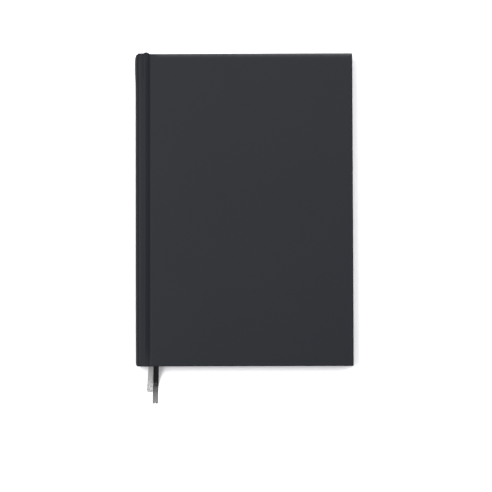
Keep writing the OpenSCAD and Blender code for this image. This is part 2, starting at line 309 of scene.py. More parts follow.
class Shader:
    """A material's node tree, with short ways to add the nodes that the finishes need."""

    def __init__(self, name: str) -> None:
        """Starts an empty material with a Principled shader.

        Args:
            name: The material's name.
        """
        self.material = bpy.data.materials.new(name)
        self.material.use_nodes = True
        self.tree = self.material.node_tree
        self.tree.nodes.clear()
        self.surface = self.tree.nodes.new("ShaderNodeBsdfPrincipled")
        out = self.tree.nodes.new("ShaderNodeOutputMaterial")
        self.tree.links.new(self.surface.outputs[0], out.inputs["Surface"])
        self.object_coords = self.tree.nodes.new("ShaderNodeTexCoord").outputs["Object"]

    def node(self, kind: str, **settings: object) -> bpy.types.Node:
        """Adds a node and sets its properties."""
        made = self.tree.nodes.new(kind)
        for key, value in settings.items():
            setattr(made, key, value)
        return made

    def link(self, source: Socket, target: Socket) -> None:
        """Joins two sockets."""
        self.tree.links.new(source, target)

    def constant(self, name: str, value: object) -> None:
        """Sets one of the shader's own sockets."""
        self.surface.inputs[name].default_value = value

    def scaled(self, scale: tuple[float, float, float], coords: Socket | None = None) -> Socket:
        """Coordinates multiplied along each axis.

        Args:
            scale: Factor along X, Y and Z.
            coords: The coordinates, or None for the object's own.

        Returns:
            The scaled coordinates.
        """
        mapping = self.node("ShaderNodeMapping")
        mapping.inputs["Scale"].default_value = scale
        self.link(coords or self.object_coords, mapping.inputs["Vector"])
        return mapping.outputs["Vector"]

    def noise(self, scale: float, detail: float = 2.0, coords: Socket | None = None) -> Socket:
        """Fractal noise between 0 and 1.

        Args:
            scale: Repeats in a metre.
            detail: Octaves.
            coords: The coordinates, or None for the object's own.

        Returns:
            The noise value.
        """
        texture = self.node("ShaderNodeTexNoise")
        texture.inputs["Scale"].default_value = scale
        texture.inputs["Detail"].default_value = detail
        self.link(coords or self.object_coords, texture.inputs["Vector"])
        return texture.outputs["Fac"]

    def cells(self, scale: float, coords: Socket | None = None) -> Socket:
        """Distance to the nearest cell centre, for pebbled grain."""
        texture = self.node("ShaderNodeTexVoronoi", feature="SMOOTH_F1")
        texture.inputs["Scale"].default_value = scale
        self.link(coords or self.object_coords, texture.inputs["Vector"])
        return texture.outputs["Distance"]

    def waves(self, scale: float, direction: str, coords: Socket | None = None) -> Socket:
        """Even ribs along one axis.

        Args:
            scale: Blender's wave scale, in which one wave is pi over ten units long at scale 1.
            direction: X, Y or Z.
            coords: The coordinates, or None for the object's own.

        Returns:
            The ribs' height between 0 and 1.
        """
        texture = self.node("ShaderNodeTexWave", wave_type="BANDS", bands_direction=direction)
        texture.inputs["Scale"].default_value = scale
        texture.inputs["Distortion"].default_value = 0.0
        self.link(coords or self.object_coords, texture.inputs["Vector"])
        return texture.outputs["Fac"]

    def ranged(self, value: Socket, low: float, high: float, a: float = 0.0, b: float = 1.0) -> Socket:
        """A value between a and b, stretched to lie between low and high, and held there."""
        remap = self.node("ShaderNodeMapRange")
        for name, number in (("From Min", a), ("From Max", b), ("To Min", low), ("To Max", high)):
            remap.inputs[name].default_value = number
        self.link(value, remap.inputs["Value"])
        return remap.outputs["Result"]

    def math(self, operation: str, a: Socket | float, b: Socket | float) -> Socket:
        """Two numbers combined by a Math node."""
        made = self.node("ShaderNodeMath", operation=operation)
        for socket, value in zip(made.inputs, (a, b)):
            if isinstance(value, (int, float)):
                socket.default_value = value
            else:
                self.link(value, socket)
        return made.outputs[0]

    def attribute(self, name: str) -> Socket:
        """A number that the mesh stores for each of its points."""
        return self.node("ShaderNodeAttribute", attribute_name=name).outputs["Fac"]

    def mix(self, factor: Socket, first: tuple | Socket, second: tuple | Socket) -> Socket:
        """A colour between two, by a factor.

        Args:
            factor: 0 for the first, 1 for the second.
            first: Linear red, green and blue, or a colour socket.
            second: Linear red, green and blue, or a colour socket.

        Returns:
            The mixed colour.
        """
        made = self.node("ShaderNodeMix", data_type="RGBA")
        self.link(factor, made.inputs["Factor"])
        for socket, value in ((made.inputs[6], first), (made.inputs[7], second)):
            if isinstance(value, tuple):
                socket.default_value = (*value, 1.0)
            else:
                self.link(value, socket)
        return made.outputs[2]

    def relief(self, height: Socket, depth: float, strength: float, below: Socket | None = None) -> Socket:
        """A bump that follows a height.

        Args:
            height: The height, from 0 to 1.
            depth: What a height of 1 is, in metres.
            strength: From 0 to 1.
            below: The normal of a coarser relief under it.

        Returns:
            The bumped normal.
        """
        bump = self.node("ShaderNodeBump")
        bump.inputs["Strength"].default_value = strength
        bump.inputs["Distance"].default_value = depth
        self.link(height, bump.inputs["Height"])
        if below is not None:
            self.link(below, bump.inputs["Normal"])
        return bump.outputs["Normal"]

    def finish(self, colour: Socket, roughness: Socket, normal: Socket) -> bpy.types.Material:
        """Joins what the textures give to the shader and returns the material."""
        self.link(colour, self.surface.inputs["Base Color"])
        self.link(roughness, self.surface.inputs["Roughness"])
        self.link(normal, self.surface.inputs["Normal"])
        return self.material


def shade(colour: tuple[float, float, float], factor: float) -> tuple[float, float, float]:
    """A colour made lighter or darker by a factor."""
    return tuple(min(1.0, c * factor) for c in colour)


@dataclass(frozen=True)
class LeatherCloth:
    """Charcoal imitation leather: fine pebbled grain, with a painted highlight along the head's edge and a faint
    paler line along the fore-edge and tail.
    """

    name: str = "covering"
    colour: tuple[float, float, float] = (0.0144, 0.0170, 0.0227)
    # Pale grey of the painted edge highlight
    edge_highlight: tuple[float, float, float] = (0.195, 0.195, 0.201)
    grain: float = 1900.0
    grain_depth: float = 0.05 * MM

    def build(self) -> bpy.types.Material:
        """Makes the material.

        Returns:
            The material.
        """
        s = Shader(self.name)
        drift = s.noise(14.0, 3.0)
        speck = s.noise(2600.0, 2.0)
        tone = s.math("ADD", s.ranged(drift, 0.0, 0.7, 0.3, 0.7), s.ranged(speck, 0.0, 0.3, 0.25, 0.75))
        body = s.mix(tone, shade(self.colour, 0.93), shade(self.colour, 1.06))
        # Painted highlight along the head's edge, and a faint paler line along the other edges, broken up by noise
        edge_highlight = s.math("MULTIPLY", s.attribute("edge_highlight_share"), s.ranged(s.noise(260.0, 3.0), 0.7, 1.0, 0.35, 0.65))
        s.constant("Specular IOR Level", 0.183)
        pebble = s.relief(s.cells(self.grain), self.grain_depth, 0.35)
        skin = s.relief(s.noise(5200.0, 2.0), 0.02 * MM, 0.3, pebble)
        return s.finish(s.mix(edge_highlight, body, self.edge_highlight), s.ranged(speck, 0.42, 0.52), skin)


@dataclass(frozen=True)
class LeafEdges:
    """Trimmed edges of white paper, with the thin lines between the leaves."""

    name: str = "pages"
    colour: tuple[float, float, float] = (0.82, 0.79, 0.71)
    lines: float = 3000.0

    def build(self) -> bpy.types.Material:
        """Makes the material."""
        s = Shader(self.name)
        flat = s.scaled((6.0, 6.0, self.lines))
        line = s.noise(1.0, 3.0, flat)
        cut = s.noise(900.0, 3.0)
        tone = s.math("ADD", s.ranged(line, 0.0, 0.75, 0.3, 0.7), s.ranged(cut, 0.0, 0.25, 0.3, 0.7))
        colour = s.mix(tone, shade(self.colour, 0.84), shade(self.colour, 1.04))
        s.constant("Specular IOR Level", 0.2)
        return s.finish(colour, s.ranged(cut, 0.78, 0.92), s.relief(line, 0.03 * MM, 0.5))


@dataclass(frozen=True)
class Paper:
    """Uncoated off-white paper with a faint fibre."""

    name: str = "endpaper"
    colour: tuple[float, float, float] = (0.83, 0.80, 0.72)

    def build(self) -> bpy.types.Material:
        """Makes the material."""
        s = Shader(self.name)
        fibre = s.noise(1.0, 4.0, s.scaled((700.0, 2200.0, 700.0)))
        cloud = s.noise(35.0, 3.0)
        tone = s.math("ADD", s.ranged(fibre, 0.0, 0.5, 0.3, 0.7), s.ranged(cloud, 0.0, 0.5, 0.3, 0.7))
        colour = s.mix(tone, shade(self.colour, 0.965), shade(self.colour, 1.02))
        s.constant("Specular IOR Level", 0.2)
        return s.finish(colour, s.ranged(fibre, 0.8, 0.92), s.relief(fibre, 0.02 * MM, 0.25))


@dataclass(frozen=True)
class Satin:
    """Woven satin ribbon: fine weft ribs across it, and a paler free end that is painted sheen.

    The painted sheen starts in spots over a stretch and covers the ribbon from there on.
    """

    name: str
    colour: tuple[float, float, float]
    painted_sheen: tuple[float, float, float]
    painted_sheen_l: float
    painted_sheen_fade: float
    mottle: float
    scatter: float = 27.0 * MM
    roughness: float = 0.4
    sheen: float = 0.05
    gloss: float = 0.305

    def build(self) -> bpy.types.Material:
        """Makes the material, which reads the ribbon's own UV map in metres."""
        s = Shader(self.name)
        along = s.node("ShaderNodeUVMap", uv_map="ribbon").outputs["UV"]
        weft = s.waves(320.0, "Y", along)
        warp = s.waves(1150.0, "X", along)
        fibre = s.noise(1.0, 3.0, s.scaled((9000.0, 700.0, 1.0), along))
        tone = s.math("ADD", s.ranged(fibre, 0.0, 0.6, 0.3, 0.7), s.ranged(weft, 0.0, 0.4))
        body = s.mix(tone, shade(self.colour, 0.8), shade(self.colour, 1.12))
        spots = s.math("SUBTRACT", s.noise(1300.0, 3.0), 0.5)
        # The free end's paler colour is painted sheen, spotted where it starts
        painted_sheen = s.mix(s.ranged(spots, 0.0, 1.0, -0.12, 0.1), shade(self.painted_sheen, self.mottle), shade(self.painted_sheen, 1.1))
        from_end = s.math("ADD", s.attribute("from_end"), s.math("MULTIPLY", spots, self.scatter))
        colour = s.mix(s.ranged(from_end, 1.0, 0.0, self.painted_sheen_l, self.painted_sheen_l + self.painted_sheen_fade), body, painted_sheen)
        s.constant("Sheen Weight", self.sheen)
        s.constant("Sheen Roughness", 0.4)
        s.constant("Specular IOR Level", self.gloss)
        ribs = s.relief(weft, 0.03 * MM, 0.45)
        threads = s.relief(warp, 0.015 * MM, 0.35, ribs)
        rough = s.ranged(fibre, self.roughness * 0.85, self.roughness * 1.2, 0.3, 0.7)
        return s.finish(colour, rough, threads)


@dataclass(frozen=True)
class WovenCloth:
    """Open-weave cotton in a crossed grid."""

    name: str
    colour: tuple[float, float, float]
    pitch: float = 0.9 * MM

    def build(self) -> bpy.types.Material:
        """Makes the material."""
        s = Shader(self.name)
        scale = math.pi / 10 / self.pitch
        threads = s.math("MAXIMUM", s.waves(scale, "Y"), s.waves(scale, "X"))
        fuzz = s.noise(1800.0, 3.0)
        tone = s.math("MULTIPLY", threads, s.ranged(fuzz, 0.75, 1.0, 0.3, 0.7))
        colour = s.mix(tone, shade(self.colour, 0.6), self.colour)
        return s.finish(colour, s.ranged(fuzz, 0.8, 0.95), s.relief(threads, 0.08 * MM, 0.6))


@dataclass(frozen=True)
class FibreBoard:
    """Pressed fibre card with flecks, for the boards, the spine's strip and its lining paper."""

    name: str
    colour: tuple[float, float, float]
    fleck: float = 900.0

    def build(self) -> bpy.types.Material:
        """Makes the material."""
        s = Shader(self.name)
        fleck = s.noise(self.fleck, 4.0)
        cloud = s.noise(60.0, 3.0)
        tone = s.math("ADD", s.ranged(fleck, 0.0, 0.7, 0.3, 0.7), s.ranged(cloud, 0.0, 0.3, 0.3, 0.7))
        colour = s.mix(tone, shade(self.colour, 0.75), shade(self.colour, 1.12))
        return s.finish(colour, s.ranged(fleck, 0.8, 0.95), s.relief(fleck, 0.04 * MM, 0.4))


@dataclass(frozen=True)
class BandThread:
    """Cotton thread of the headbands, dark or pale by the stitch's own tone."""

    name: str = "headband"
    dark: tuple[float, float, float] = (0.035, 0.036, 0.04)
    pale: tuple[float, float, float] = (0.72, 0.7, 0.65)

    def build(self) -> bpy.types.Material:
        """Makes the material."""
        s = Shader(self.name)
        fuzz = s.noise(4200.0, 3.0)
        dark = s.mix(s.ranged(fuzz, 0.0, 1.0, 0.3, 0.7), shade(self.dark, 0.8), shade(self.dark, 1.3))
        pale = s.mix(s.ranged(fuzz, 0.0, 1.0, 0.3, 0.7), shade(self.pale, 0.85), shade(self.pale, 1.05))
        s.constant("Sheen Weight", 0.2)
        colour = s.mix(s.attribute("tone"), dark, pale)
        return s.finish(colour, s.ranged(fuzz, 0.6, 0.8), s.relief(fuzz, 0.02 * MM, 0.4))


@dataclass
class Covering:
    """The covering of the case: a sheet over boards and spine, folded in at head, tail and fore-edge."""

    sizes: BookSizes
    finish: bpy.types.Material
    skin_t: float = 0.3 * MM
    arc_steps: int = 7
    # How far the folded covering stands out beyond the head at the groove, where, and over what width
    head_swell: float = 1.25 * MM
    swell_set: float = 7.5 * MM
    swell_half_w: float = 3.0 * MM
    # How far the rounded spine's edge stands out beside it, and the height over which that fades
    ear: float = 0.5 * MM
    ear_l: float = 4.5 * MM
    # How far the spine stands out over the folded covering at the head, and the length of that stretch
    head_bulge: float = 0.38 * MM
    bulge_l: float = 23.0 * MM
    # Share of the groove's depth that the stretched covering bridges, how sharply its sides fall towards the
    # bottom, how much more of the depth is lost at the very end of the tail, and the length that it fades over
    bridged: float = 0.4
    taper: float = 1.55
    groove_fade: float = 0.35
    fade_l: float = 14.0 * MM
    # Length over which the spine's ends are rounded down to the fold
    head_round_y: float = 4.2 * MM
    tail_round_y: float = 3.0 * MM
    # Reach of the faint paler line along the fore-edge and tail, and of the paler painted highlight along the head's
    # edge
    side_line_l: float = 0.5 * MM
    head_highlight_l: float = 0.75 * MM
    # How far the front board stands out beyond the back one at the head, by the fore-edge
    head_skew: float = 0.25 * MM
    # How far the middle of the spine is bowed out beyond its ends
    spine_belly: float = 0.17 * MM

    def fade(self, y: float) -> float:
        """How much of the groove's depth is lost at a place along the book."""
        b = self.sizes
        tail = 1 - smooth((y + b.half_h) / self.fade_l)
        head = 1 - smooth((b.half_h - y) / (0.5 * self.fade_l))
        return self.bridged + self.groove_fade * tail + 0.2 * head

    def swell(self, x: float, end: End, side: Side) -> float:
        """How far the folded edge stands out beyond the cover's end at a place across the joint.

        Args:
            x: Place across the book.
            end: Head or tail.
            side: Front or back.

        Returns:
            The distance.
        """
        off = abs(x - self.sizes.spine_x - self.swell_set) / self.swell_half_w
        height = self.head_swell if end is End.HEAD else 0.12 * MM
        if side is Side.BACK:
            height *= 0.6
        return height * (1 - smooth((off - 0.2) / 0.8))

    def spine_swell(self, place: Vector, end: End, side: Side) -> float:
        """The same for a place on the spine, where the swell runs out down the rounded back."""
        b = self.sizes
        out = self.swell(place.x, end, side)
        if end is End.TAIL or place.x > b.spine_x + b.shoulder_w:
            return out
        below = (b.mid_z + b.spine_half - place.z if side is Side.FRONT else place.z - b.mid_z + b.spine_half)
        height = self.ear if side is Side.FRONT else 0.6 * self.ear
        return max(out, height * (1 - smooth(below / self.ear_l)) * smooth((place.x - b.spine_x) / (2.5 * MM)))

    def skew(self, x: float) -> float:
        """How far the front cover's head edge stands out at a place across the book."""
        b = self.sizes
        return self.head_skew * min(1.0, max(0.0, (x - b.board_arc_x) / (0.85 * (b.fore_x - b.board_arc_x))))

    def front_face(self) -> Points:
        """The outer face of the front cover in section, from the groove to the fore-edge's rounding."""
        b = self.sizes
        slope = slope_angle(b.board_arc_x - b.groove_x, b.total_t - b.groove_z, b.groove_r + b.board_edge_r)
        n = self.arc_steps
        groove = arc(b.groove_x, b.groove_z + b.groove_r, b.groove_r, 270, 270 + slope, n)
        edge = arc(b.board_arc_x, b.total_t - b.board_edge_r, b.board_edge_r, 90 + slope, 90, n)
        (x0, z0), (x1, z1) = groove[-1], edge[0]
        middle = [(x0 + (x1 - x0) * t, z0 + (z1 - z0) * t) for t in (0.33, 0.67)]
        flat_end = b.fore_x - b.edge_r
        near = [edge[-1][0] + d * MM for d in (0.6, 1.5, 3.0)]
        across = spread(near[-1] + 4 * MM, flat_end - 6 * MM, 16)
        far = [flat_end - d * MM for d in (4.0, 2.5, 1.5, 0.7, 0.0)]
        return groove + middle + edge + [(x, b.total_t) for x in near + across + far]

    def wrap(self, top: float) -> Points:
        """The fold over a free edge: pairs of inset from the edge and height, from the face to the turn-in.

        Args:
            top: Height of the outer face there.

        Returns:
            Pairs of inset and height.
        """
        b = self.sizes
        r1 = min(b.edge_r, (top - b.rim_z) / 2)
        r2 = min(b.fold_r, (top - b.rim_z) / 2)
        over = arc(r1, top - r1, r1, 90, 180, self.arc_steps)
        under = arc(r2, b.rim_z + r2, r2, 180, 270, self.arc_steps - 2)
        side = [(0.0, (over[-1][1] * (1 - t) + under[0][1] * t)) for t in (0.33, 0.67)]
        flat = [(inset * MM, b.rim_z) for inset in (0.8, 2.0, 4.0, 8.0, b.turn_in / MM)]
        return over + side + under + flat

    def rows(self) -> list[float]:
        """Places along the book at which the covers have a row of points, apart from the ends."""
        b = self.sizes
        ends = [b.half_h - d * MM for d in (1.4, 2.2, 3.2, 4.5, 6.0, 8.0, 10.0, 13.0, 17.0, 22.0)]
        middle = spread(-b.half_h + 30 * MM, b.half_h - 30 * MM, 18)
        return sorted([-y for y in ends] + middle + ends)

    def lifted(self, x: float, z: float, y: float) -> float:
        """Height of the front face at a place, with the groove a little shallower near the ends."""
        b = self.sizes
        shoulder_x = b.spine_x + b.shoulder_w


        def level(place: float) -> float:
            t = min(1.0, max(0.0, (place - shoulder_x) / (b.board_arc_x - shoulder_x)))
            return b.total_t - b.shoulder_drop * (1 - smooth(t))

        depth = level(x) - z
        if depth <= 0:
            return z
        deepest = level(b.groove_x) - b.groove_z
        return level(x) - deepest * min(1.0, depth / deepest) ** self.taper * (1 - self.fade(y))

    def cover(self, name: str, side: Side) -> bpy.types.Object:
        """Builds one cover's skin with its turned-in edges.

        Args:
            name: The piece's name.
            side: Which cover.

        Returns:
            The piece.
        """
        b = self.sizes
        face = self.front_face()
        rows = self.rows()
        points: list[Vector] = []

        def edge_y(x: float, end: End) -> float:
            out = self.swell(x, end, side)
            if end is End.HEAD and side is Side.FRONT:
                out += self.skew(x)
            return end.value * (b.half_h + out)

        def end_height(x: float, z: float, end: End) -> float:
            return self.lifted(x, z, end.value * b.half_h)

        def row_at(end: End) -> list[Vector]:
            made = []
            for x, z in face:
                top = end_height(x, z, end)
                inset, height = self.wrap(top)[0]
                made.append(Vector((x, edge_y(x, end) - end.value * inset, height)))
            return made

        grid = [row_at(End.TAIL)]
        for y in rows:
            grid.append([Vector((x, y, self.lifted(x, z, y))) for x, z in face])
        grid.append(row_at(End.HEAD))
        for line in grid:
            points += line
        faces = grid_faces(len(grid), len(face), flip=True)

        corner_steps = 5
        levels = len(self.wrap(b.total_t))
        rings = []
        for k in range(levels):
            ring = []
            inset_fore, height_fore = self.wrap(b.total_t)[k]
            limit_x = b.fore_x - inset_fore
            for end in (End.TAIL, End.HEAD):
                part = []
                for x, z in face:
                    inset, height = self.wrap(end_height(x, z, end))[k]
                    place = min(x, b.fore_x - max(inset, b.edge_r))
                    part.append(Vector((place, edge_y(x, end) - end.value * inset, height)))
                if end is End.HEAD:
                    lead = self.skew(b.fore_x) if side is Side.FRONT else 0.0
                    ring += self.fore_side(rows, inset_fore, height_fore, corner_steps, lead)
                    part.reverse()
                ring += part
            rings.append(ring)
        start = len(points)
        for ring in rings:
            points += ring
        faces += grid_faces(levels, len(rings[0]), start)
        if side is Side.BACK:
            points = [Vector((p.x, p.y, b.total_t - p.z)) for p in points]
            faces = [f[::-1] for f in faces]
        piece = make_object(name, points, faces)
        solid_sheet(piece, self.skin_t)
        self.mark_edge_highlight(piece)
        return piece

    def fore_side(
        self, rows: list[float], inset: float, height: float, steps: int, lead: float
    ) -> list[Vector]:
        """One ring's run round the tail corner, along the fore-edge and round the head corner.

        Args:
            rows: Places along the book.
            inset: The ring's distance in from the edge.
            height: The ring's height.
            steps: Chords round a corner.
            lead: How far the head corner stands out beyond the cover's height.

        Returns:
            The run's points, from tail to head.
        """
        b = self.sizes
        r = max(0.0, b.edge_r - inset)
        corner_x, corner_y = b.fore_x - inset - r, b.half_h - inset - r
        tail = [Vector((x, y, height)) for x, y in arc(corner_x, -corner_y, r, 270, 360, steps)]
        head = [Vector((x, y + lead, height)) for x, y in arc(corner_x, corner_y, r, 0, 90, steps)]
        straight = [Vector((b.fore_x - inset, max(-corner_y, min(corner_y, y)), height)) for y in rows]
        return tail + straight + head

    def spine_path(self) -> list[tuple[Vector, Vector, float]]:
        """The spine's outer face in section, from the front groove round to the back groove.

        Returns:
            For each point its place, its outward direction (both with Y zero) and the depth of the fold there.
        """
        b = self.sizes
        edge_half = b.spine_half - b.spine_edge_r
        turn = math.degrees(math.asin(edge_half / (b.spine_r - b.spine_edge_r)))
        slope = slope_angle(
            b.groove_x - b.spine_x - b.shoulder_w,
            b.mid_z + b.spine_half - b.groove_z,
            b.groove_r + b.shoulder_r,
        )
        n = self.arc_steps
        shoulder_x = b.spine_x + b.shoulder_w
        shoulder_z = b.mid_z + b.spine_half
        thin, thick = 2 * b.covering_t, 2 * b.covering_t + b.strip_t
        front: list[tuple[Vector, Vector, float]] = []

        def along(points: Points, centre: tuple[float, float], out: int, depth: float) -> None:
            for x, z in points:
                away = Vector((x - centre[0], 0.0, z - centre[1])).normalized() * out
                front.append((Vector((x, 0.0, z)), away, depth))

        centre = (b.groove_x, b.groove_z + b.groove_r)
        along(arc(*centre, b.groove_r, 270, 270 - slope, n), centre, -1, thin)
        centre = (shoulder_x, shoulder_z - b.shoulder_r)
        along(arc(*centre, b.shoulder_r, 90 - slope, 90, n), centre, 1, thin)
        edge_x = b.spine_x + b.spine_bow
        for t in (0.25, 0.5, 0.75):
            flat = Vector((shoulder_x + (edge_x - shoulder_x) * t, 0.0, shoulder_z))
            front.append((flat, Vector((0.0, 0.0, 1.0)), thin))
        centre = (edge_x, b.mid_z + edge_half)
        along(arc(*centre, b.spine_edge_r, 90, 180 - turn, n), centre, 1, thin)
        centre = (b.spine_x + b.spine_r, b.mid_z)
        along(arc(*centre, b.spine_r, 180 - turn, 180, 8)[1:], centre, 1, thick)
        back = []
        for place, away, depth in reversed(front[:-1]):
            mirrored = Vector((place.x, 0.0, b.total_t - place.z))
            back.append((mirrored, Vector((away.x, 0.0, -away.z)), depth))
        return front + back

    def fold(self, place: Vector, depth: float, reach: float, end: End) -> Points:
        """The fold at a spine end: pairs of distance from the middle and depth, from the face inwards.

        Args:
            place: Where across the spine the fold is.
            depth: Thickness of the folded end.
            reach: Distance from the middle to the end.
            end: Head or tail.

        Returns:
            The pairs, from the outer face to the end of the turn-in.
        """
        b = self.sizes
        round_y = self.head_round_y if end is End.HEAD else self.tail_round_y
        at_back = smooth((b.spine_x + b.shoulder_w - 1.5 * MM - place.x) / (2.5 * MM))
        inner = 0.35 * depth
        long = (depth - inner) * (1 - at_back) + round_y * at_back
        outer = [
            (reach - long + long * math.sin(a), (depth - inner) * (1 - math.cos(a)))
            for a in spread(0.0, math.pi / 2, 2 * self.arc_steps)
        ]
        under = arc(reach - inner, depth - inner, inner, 0, 90, self.arc_steps - 2)
        tongue = [(reach - d * MM, depth) for d in (2.0, 4.5, 8.0)]
        return outer + under[1:] + tongue + [(b.half_h - b.turn_in, depth)]

    def spine(self, name: str) -> bpy.types.Object:
        """Builds the spine's skin with its turned-in ends.

        Args:
            name: The piece's name.

        Returns:
            The piece.
        """
        b = self.sizes
        inner_rows = [y for y in self.rows() if abs(y) < b.half_h - 5.5 * MM]
        points: list[Vector] = []
        width = 0
        for place, away, depth in self.spine_path():
            side = Side.FRONT if place.z > b.mid_z else Side.BACK
            run = []
            for end in (End.TAIL, End.HEAD):
                reach = b.half_h + self.spine_swell(place, end, side)
                folded = [(end.value * y, d) for y, d in self.fold(place, depth, reach, end)]
                run.append(folded)
            line = run[0][::-1] + [(y, 0.0) for y in inner_rows] + run[1]
            for y, d in line:
                spot = place - away * d
                spot += away * self.bulge(place, y)
                lift = self.spine_lift(place, y)
                points.append(Vector((spot.x, y, spot.z + lift)))
            width = len(line)
        faces = grid_faces(len(points) // width, width, flip=True)
        piece = make_object(name, points, faces)
        solid_sheet(piece, self.skin_t)
        self.mark_edge_highlight(piece)
        return piece

    def bulge(self, place: Vector, y: float) -> float:
        """How far the rounded spine stands out at the head, over the folded covering and the strip's end."""
        b = self.sizes
        near_back = smooth((b.spine_x + b.shoulder_w - place.x) / (2 * MM))
        at_head = smooth((y - b.half_h + self.bulge_l) / (13 * MM))
        middle = smooth((y + b.half_h) / (70 * MM))
        return near_back * (self.head_bulge * at_head + self.spine_belly * (0.35 + 0.65 * middle))

    def spine_lift(self, place: Vector, y: float) -> float:
        """Height by which the groove's side is lifted near the ends, up in front and down at the back."""
        b = self.sizes
        front = place.z > b.mid_z
        z = place.z if front else b.total_t - place.z
        if place.x < b.spine_x + b.shoulder_w - 0.5 * MM:
            return 0.0
        lift = self.lifted(place.x, z, y) - z
        return lift if front else -lift

    def mark_edge_highlight(self, piece: bpy.types.Object) -> None:
        """Stores the share of the paler edge colour at each point: a painted highlight along the head's edge and a
        faint paler line along the fore-edge and tail.
        """
        b = self.sizes
        mesh = piece.data
        place = np.empty(len(mesh.vertices) * 3)
        mesh.vertices.foreach_get("co", place)
        place = place.reshape(-1, 3)
        x, y = place[:, 0], place[:, 1]
        outer = np.clip((np.abs(place[:, 2] - b.mid_z) - b.mid_z + 2.5 * MM) / (1.5 * MM), 0, 1)
        sides = np.exp(-np.clip(np.minimum(b.fore_x - x, b.half_h + y), 0, None) / self.side_line_l)
        along = np.clip((x - b.board_arc_x) / (8 * MM), 0, 1)
        head = np.exp(-np.clip(b.half_h - y, 0, None) / self.head_highlight_l) * along
        # The head's paler line is painted highlight, where the rounded edge would catch the light
        edge_highlight = np.maximum(0.05 * sides, head) * outer
        attribute = mesh.attributes.new("edge_highlight_share", "FLOAT", "POINT")
        attribute.data.foreach_set("value", edge_highlight.astype(np.float32))

    def build(self) -> None:
        """Builds and places the three pieces of the covering."""
        spine = self.spine("spine_skin")
        set_material(spine, self.finish)
        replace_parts(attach(spine, "block"), "spine_covering")
        for side in Side:
            label = side.name.lower()
            skin = self.cover(f"{label}_skin", side)
            set_material(skin, self.finish)
            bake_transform(skin)
            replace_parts(skin, f"{label}_covering")
            LOG.info("%s covering: %d faces", label, len(skin.data.polygons))


@dataclass
class Pastedown:
    """The glued half of an endpaper, draped over the board, the mull's flap and the turned-in covering."""

    sizes: BookSizes
    finish: bpy.types.Material
    mull_t: float = 0.2 * MM
    mull_flap: float = 20.0 * MM
    mull_y: float = 90.0 * MM
    step_w: float = 0.5 * MM

    def depth(self, x: float, y: float) -> float:
        """Height of the paper's upper side at a place: on the board, on the mull, or on the turned-in covering."""
        b = self.sizes
        w = self.step_w
        flap_x = b.groove_x + self.mull_flap
        on_mull = smooth((flap_x - x) / w) * smooth((self.mull_y - abs(y)) / w)
        rim = max(
            smooth((x - (b.fore_x - b.turn_in - w)) / w),
            smooth((abs(y) - (b.half_h - b.turn_in - w)) / w),
        )
        level = b.board_in_z - self.mull_t * on_mull
        return level * (1 - rim) + b.rim_z * rim

    def stations(self, marks: list[float], low: float, high: float, pitch: float) -> list[float]:
        """Grid lines between two limits, close together at each mark.

        Args:
            marks: Where a step in height starts or ends.
            low: First line.
            high: Last line.
            pitch: Usual distance between lines.

        Returns:
            The sorted lines.
        """
        lines = set(spread(low, high, max(2, round((high - low) / pitch))))
        for mark in marks:
            lines |= {mark + self.step_w * t for t in (-0.4, 0.0, 0.25, 0.5, 0.75, 1.0, 1.4)}
        return sorted(v for v in lines if low <= v <= high)

    def build(self, side: Side) -> bpy.types.Object:
        """Builds one pastedown and puts it in place of its solid.

        Args:
            side: Which cover.

        Returns:
            The piece.
        """
        b = self.sizes
        w = self.step_w
        flap_x = b.groove_x + self.mull_flap
        near_joint = [b.groove_x + d * MM for d in (0.3, 0.6, 0.9, 1.2, 1.5, 1.8, 2.1, 2.4, 2.8, 3.4)]
        columns = self.stations([flap_x - w, b.fore_x - b.turn_in - w], b.groove_x, b.page_x, 8 * MM)
        columns = sorted(set(columns + near_joint))
        edge = b.half_h - b.turn_in - w
        marks = [edge, -edge - w, self.mull_y - w, -self.mull_y]
        lines = self.stations(marks, -b.page_y, b.page_y, 8 * MM)
        points = [Vector((x, y, self.depth(x, y) - b.endpaper_t)) for y in lines for x in columns]
        faces = grid_faces(len(lines), len(columns))
        if side is Side.BACK:
            points = [Vector((p.x, p.y, b.total_t - p.z)) for p in points]
            faces = [f[::-1] for f in faces]
        label = side.name.lower()
        piece = make_object(f"{label}_lining", points, faces)
        solid_sheet(piece, b.endpaper_t)
        set_material(piece, self.finish)
        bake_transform(piece)
        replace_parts(piece, f"{label}_pastedown")
        LOG.info("%s pastedown: %d faces", label, len(piece.data.polygons))
        return piece


